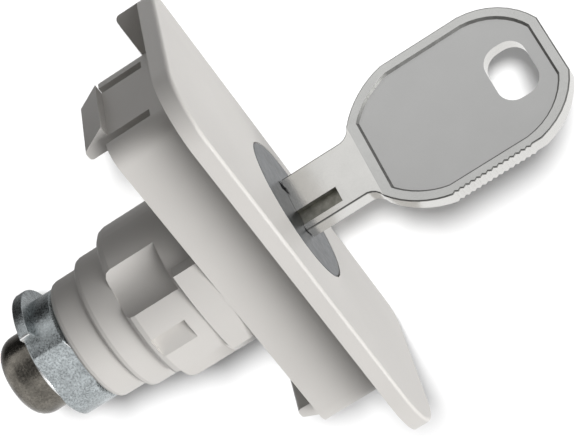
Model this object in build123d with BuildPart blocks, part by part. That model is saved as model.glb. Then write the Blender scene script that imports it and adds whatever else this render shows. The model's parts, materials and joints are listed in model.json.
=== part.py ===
from build123d import *
from math import cos, pi, radians, sin, sqrt
import os

# Electrical cabinet lock: plastic snap-in housing, turning wafer plug, tail driver, tail bolt and key.
# Millimetres. The lock axis is Y: the key side faces -Y, the tail points to +Y, and +Z is up.
# The origin lies on the lock axis in the plane of the plate's rear face, where the door skin seats.
# Depths are positive towards the tail. Angles about the axis run from +Z towards +X.

# Cutters run this far past a surface, and joined pieces reach this far into one another
over = 1.0
root = 0.5

# Plate
plate_t = 2.3
plate_left = -30.1
plate_right = 30.75
plate_top = 18.6
plate_bottom = -12.6
plate_left_r = 10.0
plate_right_r = 7.5
plate_bottom_r = 3.0
plate_edge_r = 0.45

# Lip behind the plate's lower edge
lip_t = 1.9
lip_depth = 3.5
lip_edge_r = 0.8

# Hollow block behind the plate, which fills the door cut-out
lap_left = 7.0
lap_right = 4.85
lap_top = 7.1
lap_bottom = 3.4
block_left = plate_left + lap_left
block_right = plate_right - lap_right
block_top = plate_top - lap_top
block_bottom = plate_bottom + lap_bottom
block_r = 2.6
block_wall = 2.0
block_depth = 9.4
rib_t = 1.6
rib_depth = 4.0
rib_gap = 3.0

# Snap tongues in the block's two short walls
tongue_z = 1.5
tongue_half = 5.6
tongue_t = 1.6
slot_w = 1.7
slot_front = 3.2
hook_reach = 1.4
hook_ledge = 9.05
hook_ramp = 3.4
hook_back_off = 0.3
hook_r = 0.5

# Hub and stepped barrel round the plug's body
body_r = 7.0
hub_wall = 4.15
hub_r = body_r + hub_wall
hub_end = 21.2
hub_edge_r = 1.3
ring_a_step = 1.65
ring_a_r = hub_r - ring_a_step
ring_a_l = 4.4
ring_a_end = hub_end + ring_a_l
ring_a_edge_r = 0.9
ring_b_step = 0.95
ring_b_r = ring_a_r - ring_b_step
ring_b_l = 4.25
ring_b_end = ring_a_end + ring_b_l
ring_b_edge_r = 0.8

# Saddle that runs from the block's upper wall into the hub
saddle_left = -5.9
saddle_right = 7.2
saddle_drop = 0.9
saddle_short = 8.3
saddle_end = hub_end - saddle_short
fade_short = 3.7
saddle_fade = hub_end - fade_short
fade_sink = 0.1
fade_r = hub_r - fade_sink

# Moulded scoops and sloping windows in the hub
scoop_l = 7.7
scoop_front = hub_end - scoop_l
scoop_at = 44.6
scoop_r = 4.8
scoop_depth = 1.85
scoop_centre_r = hub_r - scoop_depth + scoop_r
window_end_wall = 1.1
window_end = hub_end - window_end_wall
window_l = 5.0
window_front = window_end - window_l
window_half_w = 1.6
window_depth = 1.5

# Turning plug
turn_rest = -32.0
turn_range = 90.0
run_gap = 0.06
head_ring_w = 1.25
head_r = hub_r - head_ring_w
head_gap = 0.1
head_chamfer = 0.2
head_end = 1.2
seat_gap = 0.05
body_end_wall = 0.3
body_end = hub_end - body_end_wall
tail_step = 1.0
tail_r = body_r - tail_step
tang_step = 1.0
tang_r = tail_r - tang_step
tang_wall = 1.05
lug_t = 1.4
lug_end = head_end + lug_t
lug_set_in = 0.4
lug_r = head_r - lug_set_in
lug_half = 12.0
lug_at = 150.0
lug_play = 0.5
lug_gap = 0.2
mark_at = -2.7
mark_w = 1.2
mark_reach = 1.4
mark_depth = 1.2

# Key
key_t = 2.6
blade_half = 3.5
shank_step = 0.55
bow_half = 10.35
bow_front = 37.7
bow_side_from = 18.0
bow_side_to = 29.3
bow_nose_half = 4.25
bow_root = 10.6
bow_root_half = 5.6
shank_half = blade_half + shank_step
shank_end = 8.3
neck_out = 0.45
neck_back = 0.7
neck_mid = (shank_half + neck_out, bow_root - neck_back)
shoulder_in = 1.75
shoulder_back = 4.2
shoulder_mid = (bow_half - shoulder_in, bow_side_from - shoulder_back)
nose_in = 1.6
nose_back = 3.8
nose_mid = (bow_half - nose_in, bow_front - nose_back)
rim_w = 1.35
rim_root_w = 1.0
rim_root_gap = 0.8
rim_shoulder_w = 1.2
rim_shoulder_back = 0.4
rim_nose_w = 3.15
rim_end_w = 0.95
rim_end_gap = 1.5
field_shift = 0.7
field_half = [
    (bow_root_half - rim_root_w, bow_root + rim_root_gap),
    (shoulder_mid[0] - rim_shoulder_w, shoulder_mid[1] - rim_shoulder_back),
    (bow_half - rim_w, bow_side_from - field_shift),
    (bow_half - rim_w, bow_side_to - field_shift),
    (nose_mid[0] - rim_nose_w, nose_mid[1] + field_shift),
    (bow_nose_half - rim_end_w, bow_front - rim_end_gap),
]
field_corner_r = 0.9
field_depth = 0.35
hole_l = 8.0
hole_w = 5.6
hole_r = 2.4
hole_back = 6.0
hole_at = bow_front - hole_back
shoulder_gap = 0.1
tip_gap = 0.3
blade_tip = body_end - tip_gap
tip_chamfer = 1.4
tip_flat = 0.8
groove_lo = 0.9
groove_hi = 3.1
groove_depth = 0.9
groove_front = 5.8
key_play = 0.1

# Wafers and their springs
wafer_count = 7
wafer_front_wall = 1.0
wafer_rear_wall = 2.3
wafer_first = lug_end + wafer_front_wall
wafer_pitch = (body_end - wafer_rear_wall - wafer_first) / (wafer_count - 1)
wafer_t = 1.0
wafer_lift = 1.2
wafer_slack = 0.05
wafer_end_gap = 0.1
wafer_end_r = body_r - wafer_end_gap
cut_least = 0.2
cut_first = blade_half - cut_least
cut_step = 0.25
cut_flat_half = 0.65
cut_ramp = 1.0
ear_set_in = 0.9
ear_reach = body_r - ear_set_in
ear_low = 0.5
ear_high = 1.7
spring_r = 0.65
spring_room = 0.4
wafer_half = ear_reach - 2 * (spring_r + spring_room)
wire_t = 0.24
spring_low = -3.1
spring_clear = 0.05
spring_turns = 4.5
coil_steps = 8
groove_room = 0.3
groove_floor_r = wafer_end_r + wafer_lift + groove_room
groove_side_gap = 0.15
wafer_side_gap = 0.1
wafer_top_gap = 0.15
ear_gap = 0.1
spring_side_gap = 0.15
coil_end_rise = 0.6

# Tail driver, washer and bolt
driver_step = 0.55
driver_r = ring_b_r - driver_step
driver_gap = 0.1
driver_front = ring_b_end + driver_gap
driver_t = 4.95
driver_end = driver_front + driver_t
tang_short = 0.2
tang_end = driver_end - tang_short
driver_flat_in = 0.9
driver_flat = driver_r - driver_flat_in
driver_flat_at = 13.0
driver_edge = 0.35
catch_reach = 1.7
catch_r = driver_r + catch_reach
catch_t = 1.7
catch_front = driver_end - catch_t
catch_from = 55.0
catch_to = 160.0
catch_root_r = 0.9
bolt_head_r = 5.75
bolt_under_edge = 0.4
bolt_dome = 1.9
bolt_shank_r = 2.45
tang_flat = bolt_shank_r + tang_wall
bolt_reach = 10.7
bolt_shank_front = tang_end - bolt_reach
washer_t = 0.4
washer_set_in = 0.65
washer_r = bolt_head_r - bolt_under_edge - washer_set_in
washer_gap_w = 0.7
washer_bore_gap = 0.3
head_front = driver_end + washer_t
bolt_head_t = 5.7
bolt_head_end = head_front + bolt_head_t
bolt_tip_chamfer = 0.4
thread_gap = 0.05
tap_end_gap = 0.6
hex_flats = 5.0
hex_depth = 2.6


def across(depth, turn=0.0):
    """Plane square to the lock axis at a depth; its y points up, turned about the axis."""
    a = radians(turn)
    return Plane(origin=(0, depth, 0), x_dir=(-cos(a), 0, sin(a)), z_dir=(0, 1, 0))


def polar(r, angle):
    """Point on an across() plane at an angle from its y axis towards +X."""
    return (-r * sin(radians(angle)), r * cos(radians(angle)))


def turned_edge(r, end, rounding):
    """Corner of a turned profile, rounded in three chords, from its side to its end."""
    turns = (0, 30, 60, 90)
    return [(r - rounding * (1 - cos(radians(a))), end - rounding * (1 - sin(radians(a)))) for a in turns]


def wedge(start, stop, reach):
    """Corners of a pie slice between two angles, for trimming a ring."""
    steps = 6
    angles = [start + (stop - start) * i / steps for i in range(steps + 1)]
    return [(0, 0)] + [polar(reach, a) for a in angles]


os.makedirs("parts", exist_ok=True)
wafer_depths = [wafer_first + wafer_pitch * i for i in range(wafer_count)]
wafer_cuts = [cut_first - cut_step * i for i in range(wafer_count)]
body_bore_r = body_r + run_gap
tail_bore_r = tail_r + run_gap
head_bore_r = head_r + head_gap
arc_share = 1 - cos(radians(45))

# Outline of the cover plate, seen from the tail side, with larger radii at its upper corners
with BuildSketch() as plate_outline:
    with BuildLine():
        Polyline(
            (-plate_right, plate_bottom),
            (-plate_left, plate_bottom),
            (-plate_left, plate_top),
            (-plate_right, plate_top),
            close=True,
        )
    make_face()
    fillet(vertices().group_by(Axis.Y)[0], plate_bottom_r)
    fillet(vertices().group_by(Axis.Y)[-1].sort_by(Axis.X)[0], plate_right_r)
    fillet(vertices().sort_by_distance((-plate_left, plate_top, 0))[0], plate_left_r)

# Housing: one moulding with plate, lip, block, tongues, hub and stepped barrel
with BuildPart() as housing:
    with BuildSketch(across(-plate_t)):
        add(plate_outline.sketch)
    extrude(amount=plate_t)
    fillet(faces().sort_by(Axis.Y)[0].edges(), plate_edge_r)
    with BuildSketch(across(0)):
        add(plate_outline.sketch)
        with Locations((0, plate_bottom)):
            Rectangle(4 * plate_right, 2 * lip_t, mode=Mode.INTERSECT)
    extrude(amount=lip_depth)
    lip_back = edges().filter_by(Axis.X).group_by(Axis.Y)[-1].sort_by(Axis.Z)[0]
    fillet(lip_back, lip_edge_r)
    with BuildSketch(across(0)):
        with Locations((-(block_left + block_right) / 2, (block_top + block_bottom) / 2)):
            RectangleRounded(block_right - block_left, block_top - block_bottom, block_r)
            RectangleRounded(
                block_right - block_left - 2 * block_wall,
                block_top - block_bottom - 2 * block_wall,
                block_r - block_wall,
                mode=Mode.SUBTRACT,
            )
    extrude(amount=block_depth)
    # flat tongue plates with their hooks, one profile for each side
    for wall, side in ((block_right, 1), (block_left, -1)):
        with BuildSketch(Plane.XY.offset(tongue_z - tongue_half)):
            with BuildLine():
                inner = wall - side * tongue_t
                Polyline(
                    (inner, 0),
                    (wall, 0),
                    (wall, hook_ledge),
                    (wall + side * hook_reach, hook_ledge),
                    (wall - side * hook_back_off, hook_ledge + hook_ramp),
                    (inner, hook_ledge + hook_ramp),
                    close=True,
                )
            make_face()
            fillet(vertices().group_by(Axis.Y)[-1], hook_r)
        extrude(amount=2 * tongue_half)
    # cuts beside the tongues
    for wall, side in ((block_right, 1), (block_left, -1)):
        for edge, way in ((tongue_z + tongue_half, 1), (tongue_z - tongue_half, -1)):
            with BuildSketch(across(slot_front)):
                with Locations((-wall, edge + way * slot_w / 2)):
                    Rectangle(4 * block_wall, slot_w)
            extrude(amount=2 * block_depth, mode=Mode.SUBTRACT)
    # low ribs from the hub towards the tongues
    with BuildSketch(across(0)):
        with Locations((0, tongue_z)):
            Rectangle(block_right - tongue_t - rib_gap, rib_t, align=(Align.MAX, Align.CENTER))
            Rectangle(-block_left - tongue_t - rib_gap, rib_t, align=(Align.MIN, Align.CENTER))
    extrude(amount=rib_depth)
    # saddle: a gently domed bridge, flush with the block's upper wall, that fades into the hub
    saddle_mid = (saddle_left + saddle_right) / 2
    with BuildSketch(across(0)) as saddle_section:
        with BuildLine():
            Line((-saddle_left, block_top - saddle_drop), (-saddle_left, 0))
            Line((-saddle_left, 0), (-saddle_right, 0))
            Line((-saddle_right, 0), (-saddle_right, block_top - saddle_drop))
            ThreePointArc(
                (-saddle_right, block_top - saddle_drop),
                (-saddle_mid, block_top),
                (-saddle_left, block_top - saddle_drop),
            )
        make_face()
    extrude(amount=saddle_end)
    with BuildSketch(across(saddle_end)):
        add(saddle_section.sketch)
    with BuildSketch(across(saddle_fade)):
        with BuildLine():
            left_z, mid_z, right_z = [sqrt(fade_r**2 - x**2) for x in (saddle_left, saddle_mid, saddle_right)]
            Line((-saddle_left, left_z), (-saddle_left, 0))
            Line((-saddle_left, 0), (-saddle_right, 0))
            Line((-saddle_right, 0), (-saddle_right, right_z))
            ThreePointArc((-saddle_right, right_z), (-saddle_mid, mid_z), (-saddle_left, left_z))
        make_face()
    loft(ruled=True)
    # hub and stepped barrel, turned in one profile
    with BuildSketch(Plane.XY):
        with BuildLine():
            Polyline(
                (0, 0),
                (hub_r, 0),
                *turned_edge(hub_r, hub_end, hub_edge_r),
                (ring_a_r, hub_end),
                *turned_edge(ring_a_r, ring_a_end, ring_a_edge_r),
                (ring_b_r, ring_a_end),
                *turned_edge(ring_b_r, ring_b_end, ring_b_edge_r),
                (0, ring_b_end),
                close=True,
            )
        make_face()
    revolve(axis=Axis.Y)
    # scoops round the hub, open to the rear, and the sloping windows between them
    for middle in (0, 180):
        with BuildSketch(across(scoop_front, middle)):
            with Locations(polar(scoop_centre_r, scoop_at), polar(scoop_centre_r, -scoop_at)):
                Circle(scoop_r)
        extrude(amount=hub_end - scoop_front, mode=Mode.SUBTRACT)
        with BuildSketch(across(window_front, middle)):
            with BuildLine():
                Polyline(
                    (window_half_w, hub_r),
                    (-window_half_w, hub_r - window_depth),
                    (-window_half_w, hub_r + over),
                    (window_half_w, hub_r + over),
                    close=True,
                )
            make_face()
        extrude(amount=window_end - window_front, mode=Mode.SUBTRACT)
    # bores for the plug's head, body and tail
    with BuildSketch(across(-plate_t)):
        Circle(head_bore_r)
    extrude(amount=plate_t + head_end + seat_gap, mode=Mode.SUBTRACT)
    with BuildSketch(across(-plate_t)):
        Circle(body_bore_r)
    extrude(amount=plate_t + body_end + seat_gap, mode=Mode.SUBTRACT)
    with BuildSketch(across(0)):
        Circle(tail_bore_r)
    extrude(amount=ring_b_end, mode=Mode.SUBTRACT)
    # track of the plug's stop lug
    with BuildSketch(across(0)):
        Circle(lug_r + lug_gap)
        with BuildLine():
            Polyline(
                *wedge(
                    turn_rest + lug_at - lug_half - lug_play,
                    turn_rest + lug_at + lug_half + turn_range + lug_play,
                    2 * hub_r,
                ),
                close=True,
            )
        make_face(mode=Mode.INTERSECT)
    extrude(amount=lug_end + seat_gap, mode=Mode.SUBTRACT)
    # the two grooves that take the raised wafers
    for turn in (turn_rest, turn_rest + turn_range):
        with BuildSketch(across(wafer_depths[0] - wafer_t, turn)):
            Circle(groove_floor_r)
            Rectangle(2 * (wafer_half + groove_side_gap), groove_floor_r, align=(Align.CENTER, Align.MIN),
                      mode=Mode.INTERSECT)
        extrude(amount=wafer_pitch * (wafer_count - 1) + 2 * wafer_t, mode=Mode.SUBTRACT)

# Plug: head, wafer body, tail and flat-sided tang, with keyway, wafer slots and tapped end
with BuildPart() as plug:
    with BuildSketch(Plane.XY):
        with BuildLine():
            Polyline(
                (0, -plate_t),
                (head_r - head_chamfer, -plate_t),
                (head_r, -plate_t + head_chamfer),
                (head_r, head_end),
                (body_r, head_end),
                (body_r, body_end),
                (tail_r, body_end),
                (tail_r, driver_front),
                (tang_r, driver_front),
                (tang_r, tang_end),
                (0, tang_end),
                close=True,
            )
        make_face()
    revolve(axis=Axis.Y)
    with BuildSketch(across(driver_front, turn_rest)):
        Circle(tang_r + over)
        Rectangle(2 * tang_flat, 4 * tang_r, mode=Mode.SUBTRACT)
    extrude(amount=tang_end - driver_front + over, mode=Mode.SUBTRACT)
    # stop lug under the head
    with BuildSketch(across(head_end)):
        Circle(lug_r)
        Circle(body_r - root, mode=Mode.SUBTRACT)
        with BuildLine():
            Polyline(
                *wedge(turn_rest + lug_at - lug_half, turn_rest + lug_at + lug_half, 2 * lug_r),
                close=True,
            )
        make_face(mode=Mode.INTERSECT)
    extrude(amount=lug_end - head_end)
    # keyway with the ward that fills the key's groove
    with BuildSketch(across(-plate_t, turn_rest)):
        Rectangle(key_t + 2 * key_play, 2 * (blade_half + key_play))
        with Locations((-(key_t / 2 + key_play), (groove_lo + groove_hi) / 2)):
            Rectangle(groove_depth, groove_hi - groove_lo - 2 * key_play, align=(Align.MIN, Align.CENTER),
                      mode=Mode.SUBTRACT)
    extrude(amount=plate_t + body_end, mode=Mode.SUBTRACT)
    # small notch beside the keyway
    with BuildSketch(across(-plate_t, turn_rest)):
        with Locations((-(key_t / 2 + key_play), mark_at)):
            Rectangle(mark_reach, mark_w, align=(Align.MAX, Align.CENTER))
    extrude(amount=mark_depth, mode=Mode.SUBTRACT)
    # wafer slots and spring pockets
    for depth in wafer_depths:
        with BuildSketch(across(depth - wafer_t / 2 - wafer_slack, turn_rest)):
            Rectangle(2 * (wafer_half + wafer_side_gap), 2 * (body_r + over))
            with Locations((0, spring_low)):
                Rectangle(body_r + over, ear_high + wafer_lift + ear_gap - spring_low,
                          align=(Align.MAX, Align.MIN))
        extrude(amount=wafer_t + 2 * wafer_slack, mode=Mode.SUBTRACT)
        with BuildSketch(across(depth - spring_r - spring_side_gap, turn_rest)):
            with Locations((-wafer_half, spring_low)):
                Rectangle(body_r, ear_low - spring_low, align=(Align.MAX, Align.MIN))
        extrude(amount=2 * (spring_r + spring_side_gap), mode=Mode.SUBTRACT)
    # tapped hole for the tail bolt
    with BuildSketch(across(bolt_shank_front - tap_end_gap)):
        Circle(bolt_shank_r + thread_gap)
    extrude(amount=tang_end - bolt_shank_front + tap_end_gap, mode=Mode.SUBTRACT)

# Wafers: one plate each, whose window height follows the key's cuts
wafers = []
for number, (depth, cut) in enumerate(zip(wafer_depths, wafer_cuts), start=1):
    with BuildPart() as wafer:
        with BuildSketch(across(depth - wafer_t / 2, turn_rest)):
            Circle(wafer_end_r)
            Rectangle(2 * wafer_half, 4 * body_r, mode=Mode.INTERSECT)
            with Locations((root - wafer_half, ear_low)):
                Rectangle(ear_reach - wafer_half + root, ear_high - ear_low, align=(Align.MAX, Align.MIN))
            with Locations((0, -(cut + wafer_slack))):
                Rectangle(key_t + 4 * key_play, cut + wafer_slack + blade_half + wafer_top_gap,
                          align=(Align.CENTER, Align.MIN), mode=Mode.SUBTRACT)
        extrude(amount=wafer_t)
    wafer.part.label = f"wafer_{number}"
    wafers.append(wafer.part)

# Wafer springs: square-wire coils standing under the wafers' ears
springs = []
spring_mid = (wafer_half + wafer_side_gap + ear_reach) / 2
coil_rise = coil_end_rise * wire_t + spring_clear
spring_height = ear_low - spring_low - 2 * coil_rise
for number, depth in enumerate(wafer_depths, start=1):
    a = radians(turn_rest)
    up = Vector(sin(a), 0, cos(a))
    out = Vector(cos(a), 0, -sin(a))
    foot = Vector(0, depth, 0) + out * spring_mid + up * (spring_low + coil_rise)
    along = Vector(0, 1, 0)
    coil_points = []
    for step in range(round(spring_turns * coil_steps) + 1):
        angle = 2 * pi * step / coil_steps
        ray = out * cos(angle) + along * sin(angle)
        rise = spring_height * step / (spring_turns * coil_steps)
        coil_points.append(foot + ray * (spring_r - wire_t / 2) + up * rise)
    with BuildPart() as spring:
        with BuildLine():
            coil = Polyline(*coil_points)
        with BuildSketch(Plane(origin=coil @ 0, x_dir=up, z_dir=coil % 0)):
            Rectangle(wire_t, wire_t)
        sweep(path=coil, transition=Transition.RIGHT)
    spring.part.label = f"wafer_spring_{number}"
    springs.append(spring.part)

# Tail driver: collar with one flat and the catch flange, on the plug's tang
with BuildPart() as driver:
    with BuildSketch(Plane.XY):
        with BuildLine():
            Polyline(
                (0, driver_front),
                (driver_r - driver_edge, driver_front),
                (driver_r, driver_front + driver_edge),
                (driver_r, driver_end - driver_edge),
                (driver_r - driver_edge, driver_end),
                (0, driver_end),
                close=True,
            )
        make_face()
    revolve(axis=Axis.Y)
    with BuildSketch(Plane.XY):
        with BuildLine():
            Polyline(
                (driver_r + catch_root_r, catch_front),
                (catch_r, catch_front),
                (catch_r, driver_end),
                (driver_r - root, driver_end),
                (driver_r - root, catch_front - catch_root_r),
                (driver_r, catch_front - catch_root_r),
            )
            ThreePointArc(
                (driver_r, catch_front - catch_root_r),
                (driver_r + arc_share * catch_root_r, catch_front - arc_share * catch_root_r),
                (driver_r + catch_root_r, catch_front),
            )
        make_face()
    catch = revolve(axis=Axis.Y, mode=Mode.PRIVATE)
    with BuildSketch(across(catch_front - catch_root_r), mode=Mode.PRIVATE) as catch_slice:
        with BuildLine():
            Polyline(*wedge(catch_from, catch_to, 2 * catch_r), close=True)
        make_face()
    slice_block = extrude(catch_slice.sketch, amount=driver_end - catch_front + catch_root_r,
                          mode=Mode.PRIVATE)
    add(catch & slice_block)
    with BuildSketch(across(driver_front, driver_flat_at)):
        with Locations((0, driver_flat)):
            Rectangle(4 * driver_r, driver_r, align=(Align.CENTER, Align.MIN))
    extrude(amount=driver_end - driver_front, mode=Mode.SUBTRACT)
    with BuildSketch(across(driver_front, turn_rest)):
        Circle(tang_r + thread_gap)
        Rectangle(2 * (tang_flat + thread_gap), 4 * tang_r, mode=Mode.INTERSECT)
    extrude(amount=driver_end - driver_front, mode=Mode.SUBTRACT)

# Split spring washer under the bolt head
with BuildPart() as washer:
    with BuildSketch(across(driver_end)):
        Circle(washer_r)
        Circle(bolt_shank_r + washer_bore_gap, mode=Mode.SUBTRACT)
        with Locations((-washer_r / 2, 0)):
            Rectangle(washer_r, washer_gap_w, mode=Mode.SUBTRACT)
    extrude(amount=washer_t)

# Tail bolt with domed head and hexagon socket
with BuildPart() as bolt:
    with BuildSketch(Plane.XY):
        with BuildLine():
            Polyline(
                (0, bolt_shank_front),
                (bolt_shank_r - bolt_tip_chamfer, bolt_shank_front),
                (bolt_shank_r, bolt_shank_front + bolt_tip_chamfer),
                (bolt_shank_r, head_front),
                (bolt_head_r - bolt_under_edge, head_front),
                (bolt_head_r, head_front + bolt_under_edge),
                *turned_edge(bolt_head_r, bolt_head_end, bolt_dome),
                (0, bolt_head_end),
                close=True,
            )
        make_face()
    revolve(axis=Axis.Y)
    with BuildSketch(across(bolt_head_end - hex_depth)):
        RegularPolygon(hex_flats / 2, 6, major_radius=False)
    extrude(amount=hex_depth, mode=Mode.SUBTRACT)

# Key: bow, shank and cut blade
a = radians(turn_rest)
key_mid = Plane(origin=(0, -plate_t, 0), x_dir=(sin(a), 0, cos(a)), z_dir=(cos(a), 0, -sin(a)))
blade_points = [
    (blade_half, shoulder_gap + over),
    (blade_half, -(blade_tip + plate_t) + tip_chamfer),
    (blade_half - 2 * tip_chamfer, -(blade_tip + plate_t)),
    (blade_half - 2 * tip_chamfer - tip_flat, -(blade_tip + plate_t)),
]
for depth, cut in reversed(list(zip(wafer_depths, wafer_cuts))):
    blade_points.append((-cut, -(depth + plate_t + cut_flat_half)))
    blade_points.append((-cut, -(depth + plate_t - cut_flat_half)))
blade_points.append((-blade_half, -(wafer_depths[0] + plate_t - cut_flat_half - cut_ramp)))
blade_points.append((-blade_half, shoulder_gap + over))
with BuildPart() as key:
    with BuildSketch(key_mid.offset(-key_t / 2)):
        with BuildLine():
            Line((0, shoulder_gap), (shank_half, shoulder_gap))
            Line((shank_half, shoulder_gap), (shank_half, shank_end))
            ThreePointArc((shank_half, shank_end), neck_mid, (bow_root_half, bow_root))
            ThreePointArc((bow_root_half, bow_root), shoulder_mid, (bow_half, bow_side_from))
            Line((bow_half, bow_side_from), (bow_half, bow_side_to))
            ThreePointArc((bow_half, bow_side_to), nose_mid, (bow_nose_half, bow_front))
            Line((bow_nose_half, bow_front), (0, bow_front))
            mirror(about=Plane.YZ)
        make_face()
        with BuildLine():
            Polyline(*blade_points, close=True)
        make_face()
        with Locations((0, hole_at)):
            RectangleRounded(hole_l, hole_w, hole_r, mode=Mode.SUBTRACT)
    extrude(amount=key_t)
    # recessed fields on both broad sides of the bow
    for face_at, way in ((key_t / 2, -1), (-key_t / 2, 1)):
        with BuildSketch(key_mid.offset(face_at)):
            with BuildLine():
                Polyline(*field_half, *[(-x, y) for x, y in reversed(field_half)], close=True)
            make_face()
            fillet(vertices(), field_corner_r)
        extrude(amount=way * field_depth, mode=Mode.SUBTRACT)
    # guide groove along the blade
    with BuildSketch(key_mid.offset(key_t / 2)):
        with Locations(((groove_lo + groove_hi) / 2, groove_front)):
            Rectangle(groove_hi - groove_lo, groove_front + blade_tip + plate_t + over,
                      align=(Align.CENTER, Align.MAX))
    extrude(amount=-groove_depth, mode=Mode.SUBTRACT)

housing.part.label = "housing"
export_step(housing.part, "parts/housing.step")
plug.part.label = "plug"
export_step(plug.part, "parts/plug.step")
for piece in wafers + springs:
    export_step(piece, f"parts/{piece.label}.step")
driver.part.label = "tail_driver"
export_step(driver.part, "parts/tail_driver.step")
washer.part.label = "spring_washer"
export_step(washer.part, "parts/spring_washer.step")
bolt.part.label = "tail_bolt"
export_step(bolt.part, "parts/tail_bolt.step")
key.part.label = "key"
export_step(key.part, "parts/key.step")
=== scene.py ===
import json
import math

import bmesh
import bpy
from bpy.props import FloatProperty, FloatVectorProperty, IntProperty, PointerProperty
from mathutils import Matrix, Vector


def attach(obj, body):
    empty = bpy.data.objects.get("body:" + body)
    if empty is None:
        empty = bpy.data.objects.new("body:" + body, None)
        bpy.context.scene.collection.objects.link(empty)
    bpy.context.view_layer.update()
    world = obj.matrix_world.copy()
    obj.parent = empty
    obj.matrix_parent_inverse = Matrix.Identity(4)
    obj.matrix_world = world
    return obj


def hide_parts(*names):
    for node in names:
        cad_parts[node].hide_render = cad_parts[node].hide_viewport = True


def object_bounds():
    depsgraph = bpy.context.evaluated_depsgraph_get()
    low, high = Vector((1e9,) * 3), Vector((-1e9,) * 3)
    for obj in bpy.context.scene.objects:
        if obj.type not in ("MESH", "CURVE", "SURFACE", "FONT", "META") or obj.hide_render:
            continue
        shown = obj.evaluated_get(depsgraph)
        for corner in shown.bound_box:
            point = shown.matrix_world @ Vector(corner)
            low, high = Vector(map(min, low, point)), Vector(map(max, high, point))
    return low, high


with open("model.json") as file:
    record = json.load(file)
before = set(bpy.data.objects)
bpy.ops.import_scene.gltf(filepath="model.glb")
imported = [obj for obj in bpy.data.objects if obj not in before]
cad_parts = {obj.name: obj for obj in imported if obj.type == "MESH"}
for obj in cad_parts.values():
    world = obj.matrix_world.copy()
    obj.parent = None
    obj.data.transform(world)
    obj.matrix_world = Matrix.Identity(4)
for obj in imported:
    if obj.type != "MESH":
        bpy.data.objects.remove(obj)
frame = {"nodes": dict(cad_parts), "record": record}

bl_info = {
    "name": "Cabinet Lock",
    "version": (1, 0, 0),
    "blender": (4, 5, 0),
    "location": "3D View > Sidebar > Cabinet Lock",
    "description": "Finishes, detailed pieces and a pale studio for the packed cabinet lock",
    "category": "Object",
}

CAD_LOW, CAD_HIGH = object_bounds()
BODIES = frame["record"]["behaviour"]["bodies"]
BODY_OF = {node: body for body, nodes in BODIES.items() for node in nodes}
SPRINGS = sorted(name for name in frame["nodes"] if name.startswith("wafer_spring"))
WAFERS = sorted(name for name in frame["nodes"] if name.startswith("wafer") and name not in SPRINGS)

MM = 0.001
# places that lie this near are taken for one, and vertices that lie this near are merged
SLIVER = 0.02 * MM
MERGE = 0.001 * MM
# how far the key stands off the plate's short side, about the lock's axis
KEY_TURN = math.radians(-32)
# a face is level when its normal's z is more than this, and upright when it is less than this
LEVEL = 0.99
UPRIGHT = 0.1
# an edge is sharp when its faces meet at more than this angle
SHARP = math.radians(15)
# turns a circle's own axis to the lock's
TO_AXIS = (math.pi / 2, 0, 0)
# how many steps make a circle, a turn of wire or an arc
CIRCLE_STEPS = 96
COLLAR_STEPS = 144
WASHER_STEPS = 72
HOLE_STEPS = 64
WIRE_STEPS = 10
COIL_STEPS = 20
BOW_STEPS = 8
NECK_STEPS = 5
# most of a noise lies between these
NOISE_LOW, NOISE_HIGH = 0.3, 0.7
WHITE = (1.0, 1.0, 1.0, 1.0)
# the photograph's width and focal length, in its pixels
PHOTO_WIDTH = 581
PHOTO_FOCAL = 1800


def linear(text):
    """An sRGB hex colour as linear red, green and blue."""
    parts = [int(text[i:i + 2], 16) / 255 for i in (1, 3, 5)]
    return tuple(c / 12.92 if c <= 0.04045 else ((c + 0.055) / 1.055) ** 2.4 for c in parts)


def size(name, millimetres, description):
    """A length setting, written in millimetres."""
    return FloatProperty(name=name, description=description, default=millimetres * MM,
                         min=0.0, unit="LENGTH")


def angle(name, degrees, description):
    """An angle setting, written in degrees."""
    return FloatProperty(name=name, description=description, default=math.radians(degrees),
                         min=0.0, subtype="ANGLE")


def strength(name, value, description):
    """A setting for how strong a light is."""
    return FloatProperty(name=name, description=description, default=value, min=0.0)


def tint(name, text, description):
    """A colour setting, written as an sRGB hex value."""
    return FloatVectorProperty(name=name, description=description, default=linear(text),
                               subtype="COLOR", min=0.0, max=1.0)


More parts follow.
